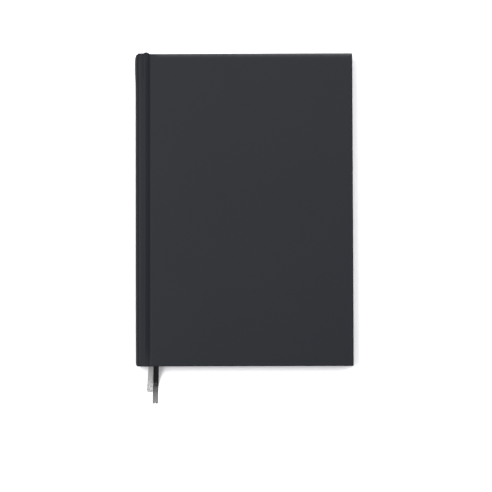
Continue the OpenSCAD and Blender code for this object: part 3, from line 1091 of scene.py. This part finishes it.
class FieldTree:
    """A geometry node tree with named inputs and short ways to write its sums."""

    def __init__(self, name: str) -> None:
        """Starts an empty tree.

        Args:
            name: The tree's name.
        """
        self.tree = bpy.data.node_groups.new(name, "GeometryNodeTree")
        self.tree.interface.new_socket("Geometry", in_out="OUTPUT", socket_type="NodeSocketGeometry")
        self.inputs = self.tree.nodes.new("NodeGroupInput")
        self.outputs = self.tree.nodes.new("NodeGroupOutput")
        self.values: dict[str, object] = {}

    def size(self, name: str, value: float) -> Socket:
        """Adds a named input with its value and returns its socket in the tree."""
        kind = "NodeSocketInt" if isinstance(value, int) else "NodeSocketFloat"
        item = self.tree.interface.new_socket(name, in_out="INPUT", socket_type=kind)
        self.values[item.identifier] = value
        return self.inputs.outputs[name]

    def node(self, kind: str, **settings: object) -> bpy.types.Node:
        """Adds a node and sets its properties."""
        made = self.tree.nodes.new(kind)
        for key, value in settings.items():
            setattr(made, key, value)
        return made

    def feed(self, socket: Socket, value: object) -> None:
        """Gives a socket a constant or a link."""
        if isinstance(value, bpy.types.NodeSocket):
            self.tree.links.new(value, socket)
        else:
            socket.default_value = value

    def math(self, operation: str, a: object, b: object = 0.0) -> Socket:
        """Two numbers combined by a Math node."""
        made = self.node("ShaderNodeMath", operation=operation)
        self.feed(made.inputs[0], a)
        self.feed(made.inputs[1], b)
        return made.outputs[0]

    def add(self, a: object, b: object) -> Socket:
        """The sum of two numbers."""
        return self.math("ADD", a, b)

    def minus(self, a: object, b: object) -> Socket:
        """The difference of two numbers."""
        return self.math("SUBTRACT", a, b)

    def times(self, a: object, b: object) -> Socket:
        """The product of two numbers."""
        return self.math("MULTIPLY", a, b)

    def root_of_rest(self, radius: Socket, height: Socket) -> Socket:
        """Length of the other side of a right triangle with the radius as its longest side."""
        return self.math("SQRT", self.minus(self.times(radius, radius), self.times(height, height)))

    def vector(self, x: object, y: object, z: object) -> Socket:
        """A vector from three numbers."""
        made = self.node("ShaderNodeCombineXYZ")
        for socket, value in zip(made.inputs, (x, y, z)):
            self.feed(socket, value)
        return made.outputs[0]

    def random(self, low: float, high: float, key: Socket, seed: int) -> Socket:
        """A random number for each key, the same on every run."""
        made = self.node("FunctionNodeRandomValue", data_type="FLOAT")
        for name, value in (("Min", low), ("Max", high)):
            socket = [s for s in made.inputs if s.name == name and s.enabled][0]
            socket.default_value = value
        self.feed([s for s in made.inputs if s.name == "ID"][0], key)
        self.feed([s for s in made.inputs if s.name == "Seed"][0], seed)
        return [s for s in made.outputs if s.enabled][0]

    def apply(self, name: str, geometry: Socket, material: bpy.types.Material) -> bpy.types.Object:
        """Ends the tree, evaluates it and returns the result as a plain mesh object.

        Args:
            name: The piece's name.
            geometry: What the tree has made.
            material: The finish of all of it.

        Returns:
            The piece.
        """
        real = self.node("GeometryNodeRealizeInstances")
        dressed = self.node("GeometryNodeSetMaterial")
        dressed.inputs["Material"].default_value = material
        self.tree.links.new(geometry, real.inputs[0])
        self.tree.links.new(real.outputs[0], dressed.inputs[0])
        self.tree.links.new(dressed.outputs[0], self.outputs.inputs[0])
        piece = bpy.data.objects.new(name, bpy.data.meshes.new(name))
        bpy.context.scene.collection.objects.link(piece)
        modifier = piece.modifiers.new("nodes", "NODES")
        modifier.node_group = self.tree
        for identifier, value in self.values.items():
            modifier[identifier] = value
        bake_modifiers(piece)
        return piece


@dataclass
class PageBlock:
    """The trimmed leaves, in sewn sections, rounded at the back and hollow at the fore-edge."""

    sizes: BookSizes
    finish: bpy.types.Material
    leaves: int = 96
    leaf_share: float = 0.86
    ragged: float = 0.035 * MM
    seed: int = 7

    def build(self) -> bpy.types.Object:
        """Builds the leaves with geometry nodes and sets them in the block's place.

        Returns:
            The piece.
        """
        b = self.sizes
        t = FieldTree("leaf_stack")
        leaves = t.size("Leaves", self.leaves)
        thick = t.size("Block thickness", b.block_t)
        height = t.size("Leaf height", 2 * b.page_y)
        fore_x = t.size("Fore-edge", b.page_x)
        hollow = t.size("Fore-edge hollow", b.fore_hollow)
        back_r = t.size("Back radius", b.back_r)
        back_cx = t.size("Back centre", b.spine_x + b.spine_r)
        rise = t.size("Shoulder rise", b.shoulder_rise)
        rise_end = t.size("End of the rise", b.groove_x)
        notch = t.size("Notch depth", b.notch_d)
        sections = t.size("Sections", b.sections)
        ragged = t.size("Raggedness", self.ragged)
        pitch = t.math("DIVIDE", thick, leaves)
        half = t.times(thick, 0.5)

        line = t.node("GeometryNodeMeshLine")
        t.feed(line.inputs["Count"], leaves)
        first = t.times(t.minus(pitch, thick), 0.5)
        t.feed(line.inputs["Start Location"], t.vector(0.0, 0.0, first))
        t.feed(line.inputs["Offset"], t.vector(0.0, 0.0, pitch))
        leaf = t.node("GeometryNodeMeshCube")
        t.feed(leaf.inputs["Size"], t.vector(1.0, height, t.times(pitch, self.leaf_share)))
        t.feed(leaf.inputs["Vertices X"], 22)
        stack = t.node("GeometryNodeInstanceOnPoints")
        t.tree.links.new(line.outputs[0], stack.inputs["Points"])
        t.tree.links.new(leaf.outputs[0], stack.inputs["Instance"])
        loose = t.node("GeometryNodeRealizeInstances")
        t.tree.links.new(stack.outputs[0], loose.inputs[0])

        place = t.node("ShaderNodeSeparateXYZ")
        t.tree.links.new(t.node("GeometryNodeInputPosition").outputs[0], place.inputs[0])
        x, y, z = place.outputs
        number = t.math("FLOOR", t.math("DIVIDE", t.add(z, half), pitch))
        share = t.math("POWER", t.add(x, 0.5), 3.0)
        fan = t.add(1.0, t.math("DIVIDE", rise, half))
        back_z = t.times(z, fan)
        within = t.times(t.times(t.math("DIVIDE", t.add(z, half), thick), sections), math.pi)
        scallop = t.times(notch, t.minus(1.0, t.math("ABSOLUTE", t.math("SINE", within))))
        back_x = t.add(t.minus(back_cx, t.root_of_rest(back_r, back_z)), scallop)
        edge_r = t.math(
            "DIVIDE",
            t.add(t.times(half, half), t.times(hollow, hollow)),
            t.times(hollow, 2.0),
        )
        edge_in = t.minus(t.add(fore_x, t.minus(edge_r, hollow)), t.root_of_rest(edge_r, z))
        uneven_x = t.times(ragged, t.random(-1.0, 0.0, number, self.seed))
        uneven_y = t.times(ragged, t.random(-1.0, 1.0, number, self.seed + 1))
        leaf_x = t.add(back_x, t.times(share, t.minus(t.add(edge_in, uneven_x), back_x)))
        flat = t.node("ShaderNodeMapRange", interpolation_type="SMOOTHSTEP")
        t.feed(flat.inputs["Value"], leaf_x)
        t.feed(flat.inputs["From Min"], t.minus(rise_end, 3.4 * MM))
        t.feed(flat.inputs["From Max"], rise_end)
        t.feed(flat.inputs["To Min"], fan)
        t.feed(flat.inputs["To Max"], 1.0)
        leaf_z = t.add(t.times(z, flat.outputs["Result"]), b.mid_z)
        moved = t.node("GeometryNodeSetPosition")
        t.tree.links.new(loose.outputs[0], moved.inputs["Geometry"])
        t.feed(moved.inputs["Position"], t.vector(leaf_x, t.add(y, uneven_y), leaf_z))
        piece = t.apply("leaves", moved.outputs[0], self.finish)
        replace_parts(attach(piece, "block"), "page_block")
        LOG.info("leaves: %d faces", len(piece.data.polygons))
        return piece


@dataclass
class Headband:
    """A beaded tape at one end of the block's back: thread loops over a core, dark and pale in turn."""

    sizes: BookSizes
    finish: bpy.types.Material
    bead_r: float = 0.56 * MM
    thread_r: float = 0.14 * MM
    thread_pitch: float = 0.25 * MM
    threads_a_colour: int = 4

    def build(self, end: End) -> bpy.types.Object:
        """Builds one headband with geometry nodes and seats it on the leaves.

        Args:
            end: Head or tail.

        Returns:
            The piece.
        """
        b = self.sizes
        low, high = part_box("headband" if end is End.HEAD else "tailband")
        centre_r = b.back_r - 0.4 * MM
        half_a = math.asin((high[2] - low[2]) / 2 / (b.back_r + 0.1 * MM)) - 0.03
        t = FieldTree(f"band_{end.name.lower()}")
        radius = t.size("Radius of the back", centre_r)
        bead = t.size("Bead radius", self.bead_r)
        thread = t.size("Thread radius", self.thread_r)
        pitch = t.size("Thread pitch", self.thread_pitch)
        half = t.size("Half angle", half_a)
        run = t.size("Threads of one colour", self.threads_a_colour)

        count = t.math("CEIL", t.math("DIVIDE", t.times(t.times(radius, half), 2.0), pitch))
        line = t.node("GeometryNodeMeshLine")
        t.feed(line.inputs["Count"], count)
        t.feed(line.inputs["Offset"], (0.0, 0.0, 0.0))
        index = t.node("GeometryNodeInputIndex").outputs[0]
        angle = t.minus(t.times(t.math("DIVIDE", index, t.minus(count, 1.0)), t.times(half, 2.0)), half)
        ring = t.node("GeometryNodeCurvePrimitiveCircle", mode="RADIUS")
        t.feed(ring.inputs["Resolution"], 14)
        t.feed(ring.inputs["Radius"], bead)
        section = t.node("GeometryNodeCurvePrimitiveCircle", mode="RADIUS")
        t.feed(section.inputs["Resolution"], 6)
        t.feed(section.inputs["Radius"], thread)
        loop = t.node("GeometryNodeCurveToMesh")
        t.tree.links.new(ring.outputs[0], loop.inputs["Curve"])
        t.tree.links.new(section.outputs[0], loop.inputs["Profile Curve"])
        put = t.node("GeometryNodeInstanceOnPoints")
        t.tree.links.new(line.outputs[0], put.inputs["Points"])
        t.tree.links.new(loop.outputs[0], put.inputs["Instance"])
        t.feed(put.inputs["Rotation"], t.vector(0.0, angle, 0.0))
        x = t.minus(b.spine_x + b.spine_r, t.times(radius, t.math("COSINE", angle)))
        z = t.add(b.mid_z, t.times(radius, t.math("SINE", angle)))
        y = end.value * (b.page_y + self.bead_r + self.thread_r)
        spot = t.node("GeometryNodeSetPosition")
        t.tree.links.new(line.outputs[0], spot.inputs["Geometry"])
        t.feed(spot.inputs["Position"], t.vector(x, y, z))
        t.tree.links.new(spot.outputs[0], put.inputs["Points"])
        tone = t.math("MODULO", t.math("FLOOR", t.math("DIVIDE", index, run)), 2.0)
        keep = t.node("GeometryNodeStoreNamedAttribute", data_type="FLOAT", domain="INSTANCE")
        t.feed(keep.inputs["Name"], "tone")
        t.feed([s for s in keep.inputs if s.name == "Value" and s.enabled][0], tone)
        t.tree.links.new(put.outputs[0], keep.inputs["Geometry"])
        piece = t.apply(f"{end.name.lower()}band_threads", keep.outputs[0], self.finish)
        piece.data.shade_smooth()
        node = "headband" if end is End.HEAD else "tailband"
        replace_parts(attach(piece, "block"), node)
        LOG.info("%s: %d faces", node, len(piece.data.polygons))
        return piece


@dataclass(frozen=True)
class Route:
    """Where a ribbon runs, in millimetres from the spine's face and from the ends of the pages.

    At the head a point has its distance from the spine, its distance past the pages and the turn of the
    ribbon's width from upright (0) to level (90). At the tail its third number is the share of its height
    between the leaves that it still has.
    """

    set: float
    rise: float
    head: tuple[tuple[float, float, float], ...]
    tail: tuple[tuple[float, float, float], ...]
    lie_z: float = 0.2
    leaf_steps: int = 12

    def knots(self, b: BookSizes) -> np.ndarray:
        """The route's points.

        Args:
            b: The book's sizes.

        Returns:
            Rows of X, Y and Z in metres and turn in degrees.
        """
        z = b.mid_z / MM + self.rise
        page_y, spine_x = b.page_y / MM, b.spine_x / MM
        rows = [(spine_x + s, page_y + past, z, turn) for s, past, turn in self.head]
        rows += [
            (spine_x + self.set, page_y * (1 - 2 * i / self.leaf_steps), z, 90.0)
            for i in range(self.leaf_steps + 1)
        ]
        rows += [
            (spine_x + s, -page_y - past, self.lie_z + (z - self.lie_z) * share, 90.0)
            for s, past, share in self.tail
        ]
        knots = np.array(rows, float)
        knots[:, :3] *= MM
        return knots


@dataclass
class Ribbon:
    """A flat ribbon marker, fixed behind the headband, laid through the leaves and out at the tail."""

    name: str
    node: str
    finish: bpy.types.Material
    sizes: BookSizes
    route: Route
    width: float = 3.8 * MM
    thickness: float = 0.2 * MM
    cup: float = 0.12 * MM
    notch: float = 0.0
    across: int = 16
    step: float = 0.6 * MM

    def line(self) -> tuple[np.ndarray, np.ndarray]:
        """The ribbon's centre line as close points, with the turn of its width at each.

        Returns:
            Points in metres, and turns in radians.
        """
        knots = self.route.knots(self.sizes)
        gaps = np.linalg.norm(np.diff(knots[:, :3], axis=0), axis=1)
        at = np.concatenate(([0.0], np.cumsum(gaps)))
        fine: list[np.ndarray] = []
        for i in range(len(knots) - 1):
            before, after = knots[max(0, i - 1)], knots[min(len(knots) - 1, i + 2)]
            span = at[i + 1] - at[i]
            out = (knots[i + 1] - before) / (at[i + 1] - at[max(0, i - 1)]) * span
            into = (after - knots[i]) / (at[min(len(knots) - 1, i + 2)] - at[i]) * span
            count = max(2, round(min(span, 8 * MM) / self.step))
            for k in range(count):
                u = k / count
                fine.append(
                    knots[i] * (2 * u ** 3 - 3 * u ** 2 + 1) + out * (u ** 3 - 2 * u ** 2 + u)
                    + knots[i + 1] * (3 * u ** 2 - 2 * u ** 3) + into * (u ** 3 - u ** 2)
                )
        fine.append(knots[-1])
        rows = np.array(fine)
        return rows[:, :3], np.radians(rows[:, 3])

    def build(self) -> bpy.types.Object:
        """Builds the ribbon along its route and logs its length.

        Returns:
            The piece.
        """
        centre, turns = self.line()
        ahead = np.gradient(centre, axis=0)
        ahead /= np.linalg.norm(ahead, axis=1)[:, None]
        level = np.stack([np.sin(turns), np.zeros(len(turns)), np.cos(turns)], axis=1)
        level -= ahead * np.sum(level * ahead, axis=1)[:, None]
        level /= np.linalg.norm(level, axis=1)[:, None]
        up = np.cross(ahead, level)
        travelled = np.concatenate(([0.0], np.cumsum(np.linalg.norm(np.diff(centre, axis=0), axis=1))))
        total = travelled[-1]
        points, uv = [], []
        for side in (1, -1):
            for i, middle in enumerate(centre):
                free = smooth((-centre[i][1] - self.sizes.page_y) / (4 * MM))
                near_end = smooth((travelled[i] - total + 9 * MM) / (9 * MM))
                for j in range(self.across + 1):
                    v = 2 * j / self.across - 1
                    rise = self.cup * free * (1 - near_end) * (v * v - 0.4)
                    lobes = math.exp(-(v / 0.2) ** 2) + 0.6 * v ** 6
                    back = self.notch * lobes * smooth((travelled[i] - total + 3 * MM) / (3 * MM))
                    half_t = self.thickness / 2 * (1 - 0.35 * v ** 6)
                    spot = middle + level[i] * v * self.width / 2 + up[i] * (rise + side * half_t)
                    points.append(Vector(spot - ahead[i] * back))
                    uv.append((v * self.width / 2, travelled[i]))
        rows, columns = len(centre), self.across + 1
        top = grid_faces(rows, columns, flip=True)
        bottom = grid_faces(rows, columns, rows * columns)
        rim = [i * columns + columns - 1 for i in range(rows)]
        ring = list(range(columns)) + rim[1:]
        ring += [(rows - 1) * columns + j for j in range(columns - 2, -1, -1)]
        ring += [i * columns for i in range(rows - 2, 0, -1)]
        offset = rows * columns
        edges = [(a, c, c + offset, a + offset) for a, c in zip(ring, ring[1:] + ring[:1])]
        mesh = bpy.data.meshes.new(self.name)
        mesh.from_pydata([tuple(p) for p in points], [], top + bottom + edges)
        layer = mesh.uv_layers.new(name="ribbon")
        for loop in mesh.loops:
            layer.data[loop.index].uv = uv[loop.vertex_index]
        from_end = mesh.attributes.new("from_end", "FLOAT", "POINT")
        from_end.data.foreach_set("value", [total - along for _, along in uv])
        mesh.shade_smooth()
        piece = bpy.data.objects.new(self.name, mesh)
        bpy.context.scene.collection.objects.link(piece)
        work = bmesh.new()
        work.from_mesh(mesh)
        bmesh.ops.recalc_face_normals(work, faces=work.faces)
        work.to_mesh(mesh)
        work.free()
        set_material(piece, self.finish)
        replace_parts(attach(piece, "block"), self.node)
        LOG.info("%s: %.1f mm long", self.name, total / MM)
        return piece


LIGHT = Route(
    set=10.4,
    rise=-2.9,
    head=((4.9, 0.4, 0), (6.1, 0.7, 5), (7.5, 1.2, 25), (8.8, 1.5, 50), (9.8, 1.3, 72), (10.3, 0.8, 86)),
    tail=(
        (10.4, 2, 0.96), (10.3, 4, 0.83), (10.2, 6, 0.62), (10, 8, 0.38), (9.8, 10.2, 0.17), (9.6, 12.4, 0.04),
        (9.4, 14.6, 0), (9.2, 17.6, 0), (9.1, 20.7, 0),
    ),
)
DARK = Route(
    set=14.0,
    rise=1.1,
    head=(
        (4.9, 0.4, 0), (6.5, 0.5, 0), (8.1, 0.8, 5), (9.9, 1.2, 20), (11.6, 1.5, 45), (13, 1.4, 70), (13.8, 0.9, 85),
    ),
    tail=(
        (14, 2, 0.98), (14, 4.2, 0.9), (13.9, 6.4, 0.76), (13.8, 8.6, 0.58), (13.7, 10.8, 0.39), (13.6, 13, 0.22),
        (13.5, 15.2, 0.09), (13.3, 17.4, 0.02), (13.2, 19.8, 0), (13.1, 24.4, 0), (13, 28.9, 0),
    ),
)


@dataclass
class Studio:
    """Camera, lamps and a white floor, as the object was photographed from above."""

    camera_place: tuple[float, float, float] = (-0.62 * MM, -94.32 * MM, 1516.4 * MM)
    camera_turn: tuple[float, float, float] = (2.637, -0.069, -0.153)
    focal_px: float = 2178.9
    photo_px: float = 492.0
    sky: float = 0.45
    horizon: float = 0.295
    key_place: tuple[float, float, float] = (-1.05, 0.19, 2.50)
    key_size: float = 1.15
    key_power: float = 31.2
    fill_place: tuple[float, float, float] = (0.30, 0.50, 1.11)
    fill_size: float = 0.7
    fill_power: float = 4.1

    def camera(self) -> None:
        """Adds the camera at the photograph's angle."""
        data = bpy.data.cameras.new("camera")
        data.sensor_width = 36.0
        data.lens = self.focal_px / self.photo_px * data.sensor_width
        data.clip_start = 0.05
        camera = bpy.data.objects.new("camera", data)
        camera.location = self.camera_place
        camera.rotation_mode = "ZYX"
        camera.rotation_euler = [math.radians(a) for a in self.camera_turn]
        bpy.context.scene.collection.objects.link(camera)
        bpy.context.scene.camera = camera

    def lamps(self) -> None:
        """Adds the soft key lamp and the even surroundings."""
        for name, place, size, power in (
            ("key", self.key_place, self.key_size, self.key_power),
            ("fill", self.fill_place, self.fill_size, self.fill_power),
        ):
            data = bpy.data.lights.new(name, "AREA")
            data.shape = "SQUARE"
            data.size = size
            data.energy = power
            lamp = bpy.data.objects.new(name, data)
            lamp.location = place
            lamp.rotation_euler = (-Vector(place)).to_track_quat("-Z", "Y").to_euler()
            bpy.context.scene.collection.objects.link(lamp)
        world = bpy.data.worlds.new("surroundings")
        world.use_nodes = True
        tree = world.node_tree
        background = tree.nodes["Background"]
        background.inputs["Color"].default_value = (1.0, 1.0, 1.0, 1.0)
        path = tree.nodes.new("ShaderNodeLightPath")
        seen = tree.nodes.new("ShaderNodeMath")
        seen.operation = "MAXIMUM"
        tree.links.new(path.outputs["Is Camera Ray"], seen.inputs[0])
        tree.links.new(path.outputs["Is Transmission Ray"], seen.inputs[1])
        ray = tree.nodes.new("ShaderNodeSeparateXYZ")
        tree.links.new(tree.nodes.new("ShaderNodeTexCoord").outputs["Generated"], ray.inputs[0])
        dome = tree.nodes.new("ShaderNodeMapRange")
        dome.interpolation_type = "SMOOTHSTEP"
        for name, value in (("From Max", 0.8), ("To Min", self.horizon), ("To Max", self.sky)):
            dome.inputs[name].default_value = value
        tree.links.new(ray.outputs["Z"], dome.inputs["Value"])
        strength = tree.nodes.new("ShaderNodeMix")
        tree.links.new(seen.outputs[0], strength.inputs["Factor"])
        tree.links.new(dome.outputs["Result"], strength.inputs["A"])
        strength.inputs["B"].default_value = 1.0
        tree.links.new(strength.outputs["Result"], background.inputs["Strength"])
        bpy.context.scene.world = world

    def floor(self) -> None:
        """Adds the white surface that the book lies on."""
        mesh = bpy.data.meshes.new("floor")
        half = 6.0
        mesh.from_pydata(
            [(-half, -half, -0.05 * MM), (half, -half, -0.05 * MM), (half, half, -0.05 * MM), (-half, half, -0.05 * MM)],
            [], [(0, 1, 2, 3)],
        )
        floor = bpy.data.objects.new("floor", mesh)
        bpy.context.scene.collection.objects.link(floor)
        material = bpy.data.materials.new("floor")
        material.use_nodes = True
        tree = material.node_tree
        tree.nodes.clear()
        out = tree.nodes.new("ShaderNodeOutputMaterial")
        matt = tree.nodes.new("ShaderNodeBsdfDiffuse")
        path = tree.nodes.new("ShaderNodeLightPath")
        level = tree.nodes.new("ShaderNodeMix")
        level.data_type = "RGBA"
        level.inputs[6].default_value = (0.6, 0.6, 0.6, 1.0)
        level.inputs[7].default_value = (1.63, 1.63, 1.68, 1.0)
        tree.links.new(path.outputs["Is Camera Ray"], level.inputs["Factor"])
        tree.links.new(level.outputs[2], matt.inputs["Color"])
        tree.links.new(matt.outputs[0], out.inputs["Surface"])
        mesh.materials.append(material)

    def build(self) -> None:
        """Sets up the whole studio."""
        self.camera()
        self.lamps()
        self.floor()
        bpy.context.scene.view_settings.view_transform = "Standard"


@dataclass
class Binding:
    """The solids that keep their own shape: boards, strip, mull, lining and flyleaves."""

    finishes: dict[str, bpy.types.Material] = field(default_factory=dict)

    def build(self) -> None:
        """Dresses each carried-over solid by its name."""
        for node, material in self.finishes.items():
            set_material(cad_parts[node], material)
            LOG.info("%s: dressed as %s", node, material.name)


def main() -> None:
    """Builds the studio and the book's pieces in order."""
    logging.basicConfig(level=logging.INFO, format="%(name)s: %(message)s")
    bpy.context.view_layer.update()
    Studio().build()
    # Each ribbon's second colour is the painted sheen of its free end
    light = Satin("light_ribbon", (0.59, 0.59, 0.596), (0.70, 0.70, 0.706), 4.5 * MM, 4.5 * MM, 0.55).build()
    dark = Satin("dark_ribbon", (0.0073, 0.0073, 0.0085), (0.29, 0.29, 0.29), 2.5 * MM, 12 * MM, 0.7).build()
    Ribbon("light_marker", "light_ribbon", light, SIZES, LIGHT).build()
    Ribbon("dark_marker", "dark_ribbon", dark, SIZES, DARK, notch=0.9 * MM).build()
    Covering(SIZES, LeatherCloth().build()).build()
    PageBlock(SIZES, LeafEdges().build()).build()
    paper = Paper().build()
    for side in Side:
        Pastedown(SIZES, paper).build(side)
    thread = BandThread().build()
    for end in End:
        Headband(SIZES, thread).build(end)
    board = FibreBoard("board", (0.30, 0.25, 0.19)).build()
    mull = WovenCloth("mull", (0.62, 0.58, 0.48)).build()
    lining = FibreBoard("lining", (0.28, 0.19, 0.11), 2400.0).build()
    Binding({
        "front_board": board, "back_board": board, "spine_strip": board,
        "spine_mull": mull, "front_mull_flap": mull, "back_mull_flap": mull,
        "spine_lining": lining, "front_flyleaf": paper, "back_flyleaf": paper,
    }).build()


if __name__ == "__main__":
    main()
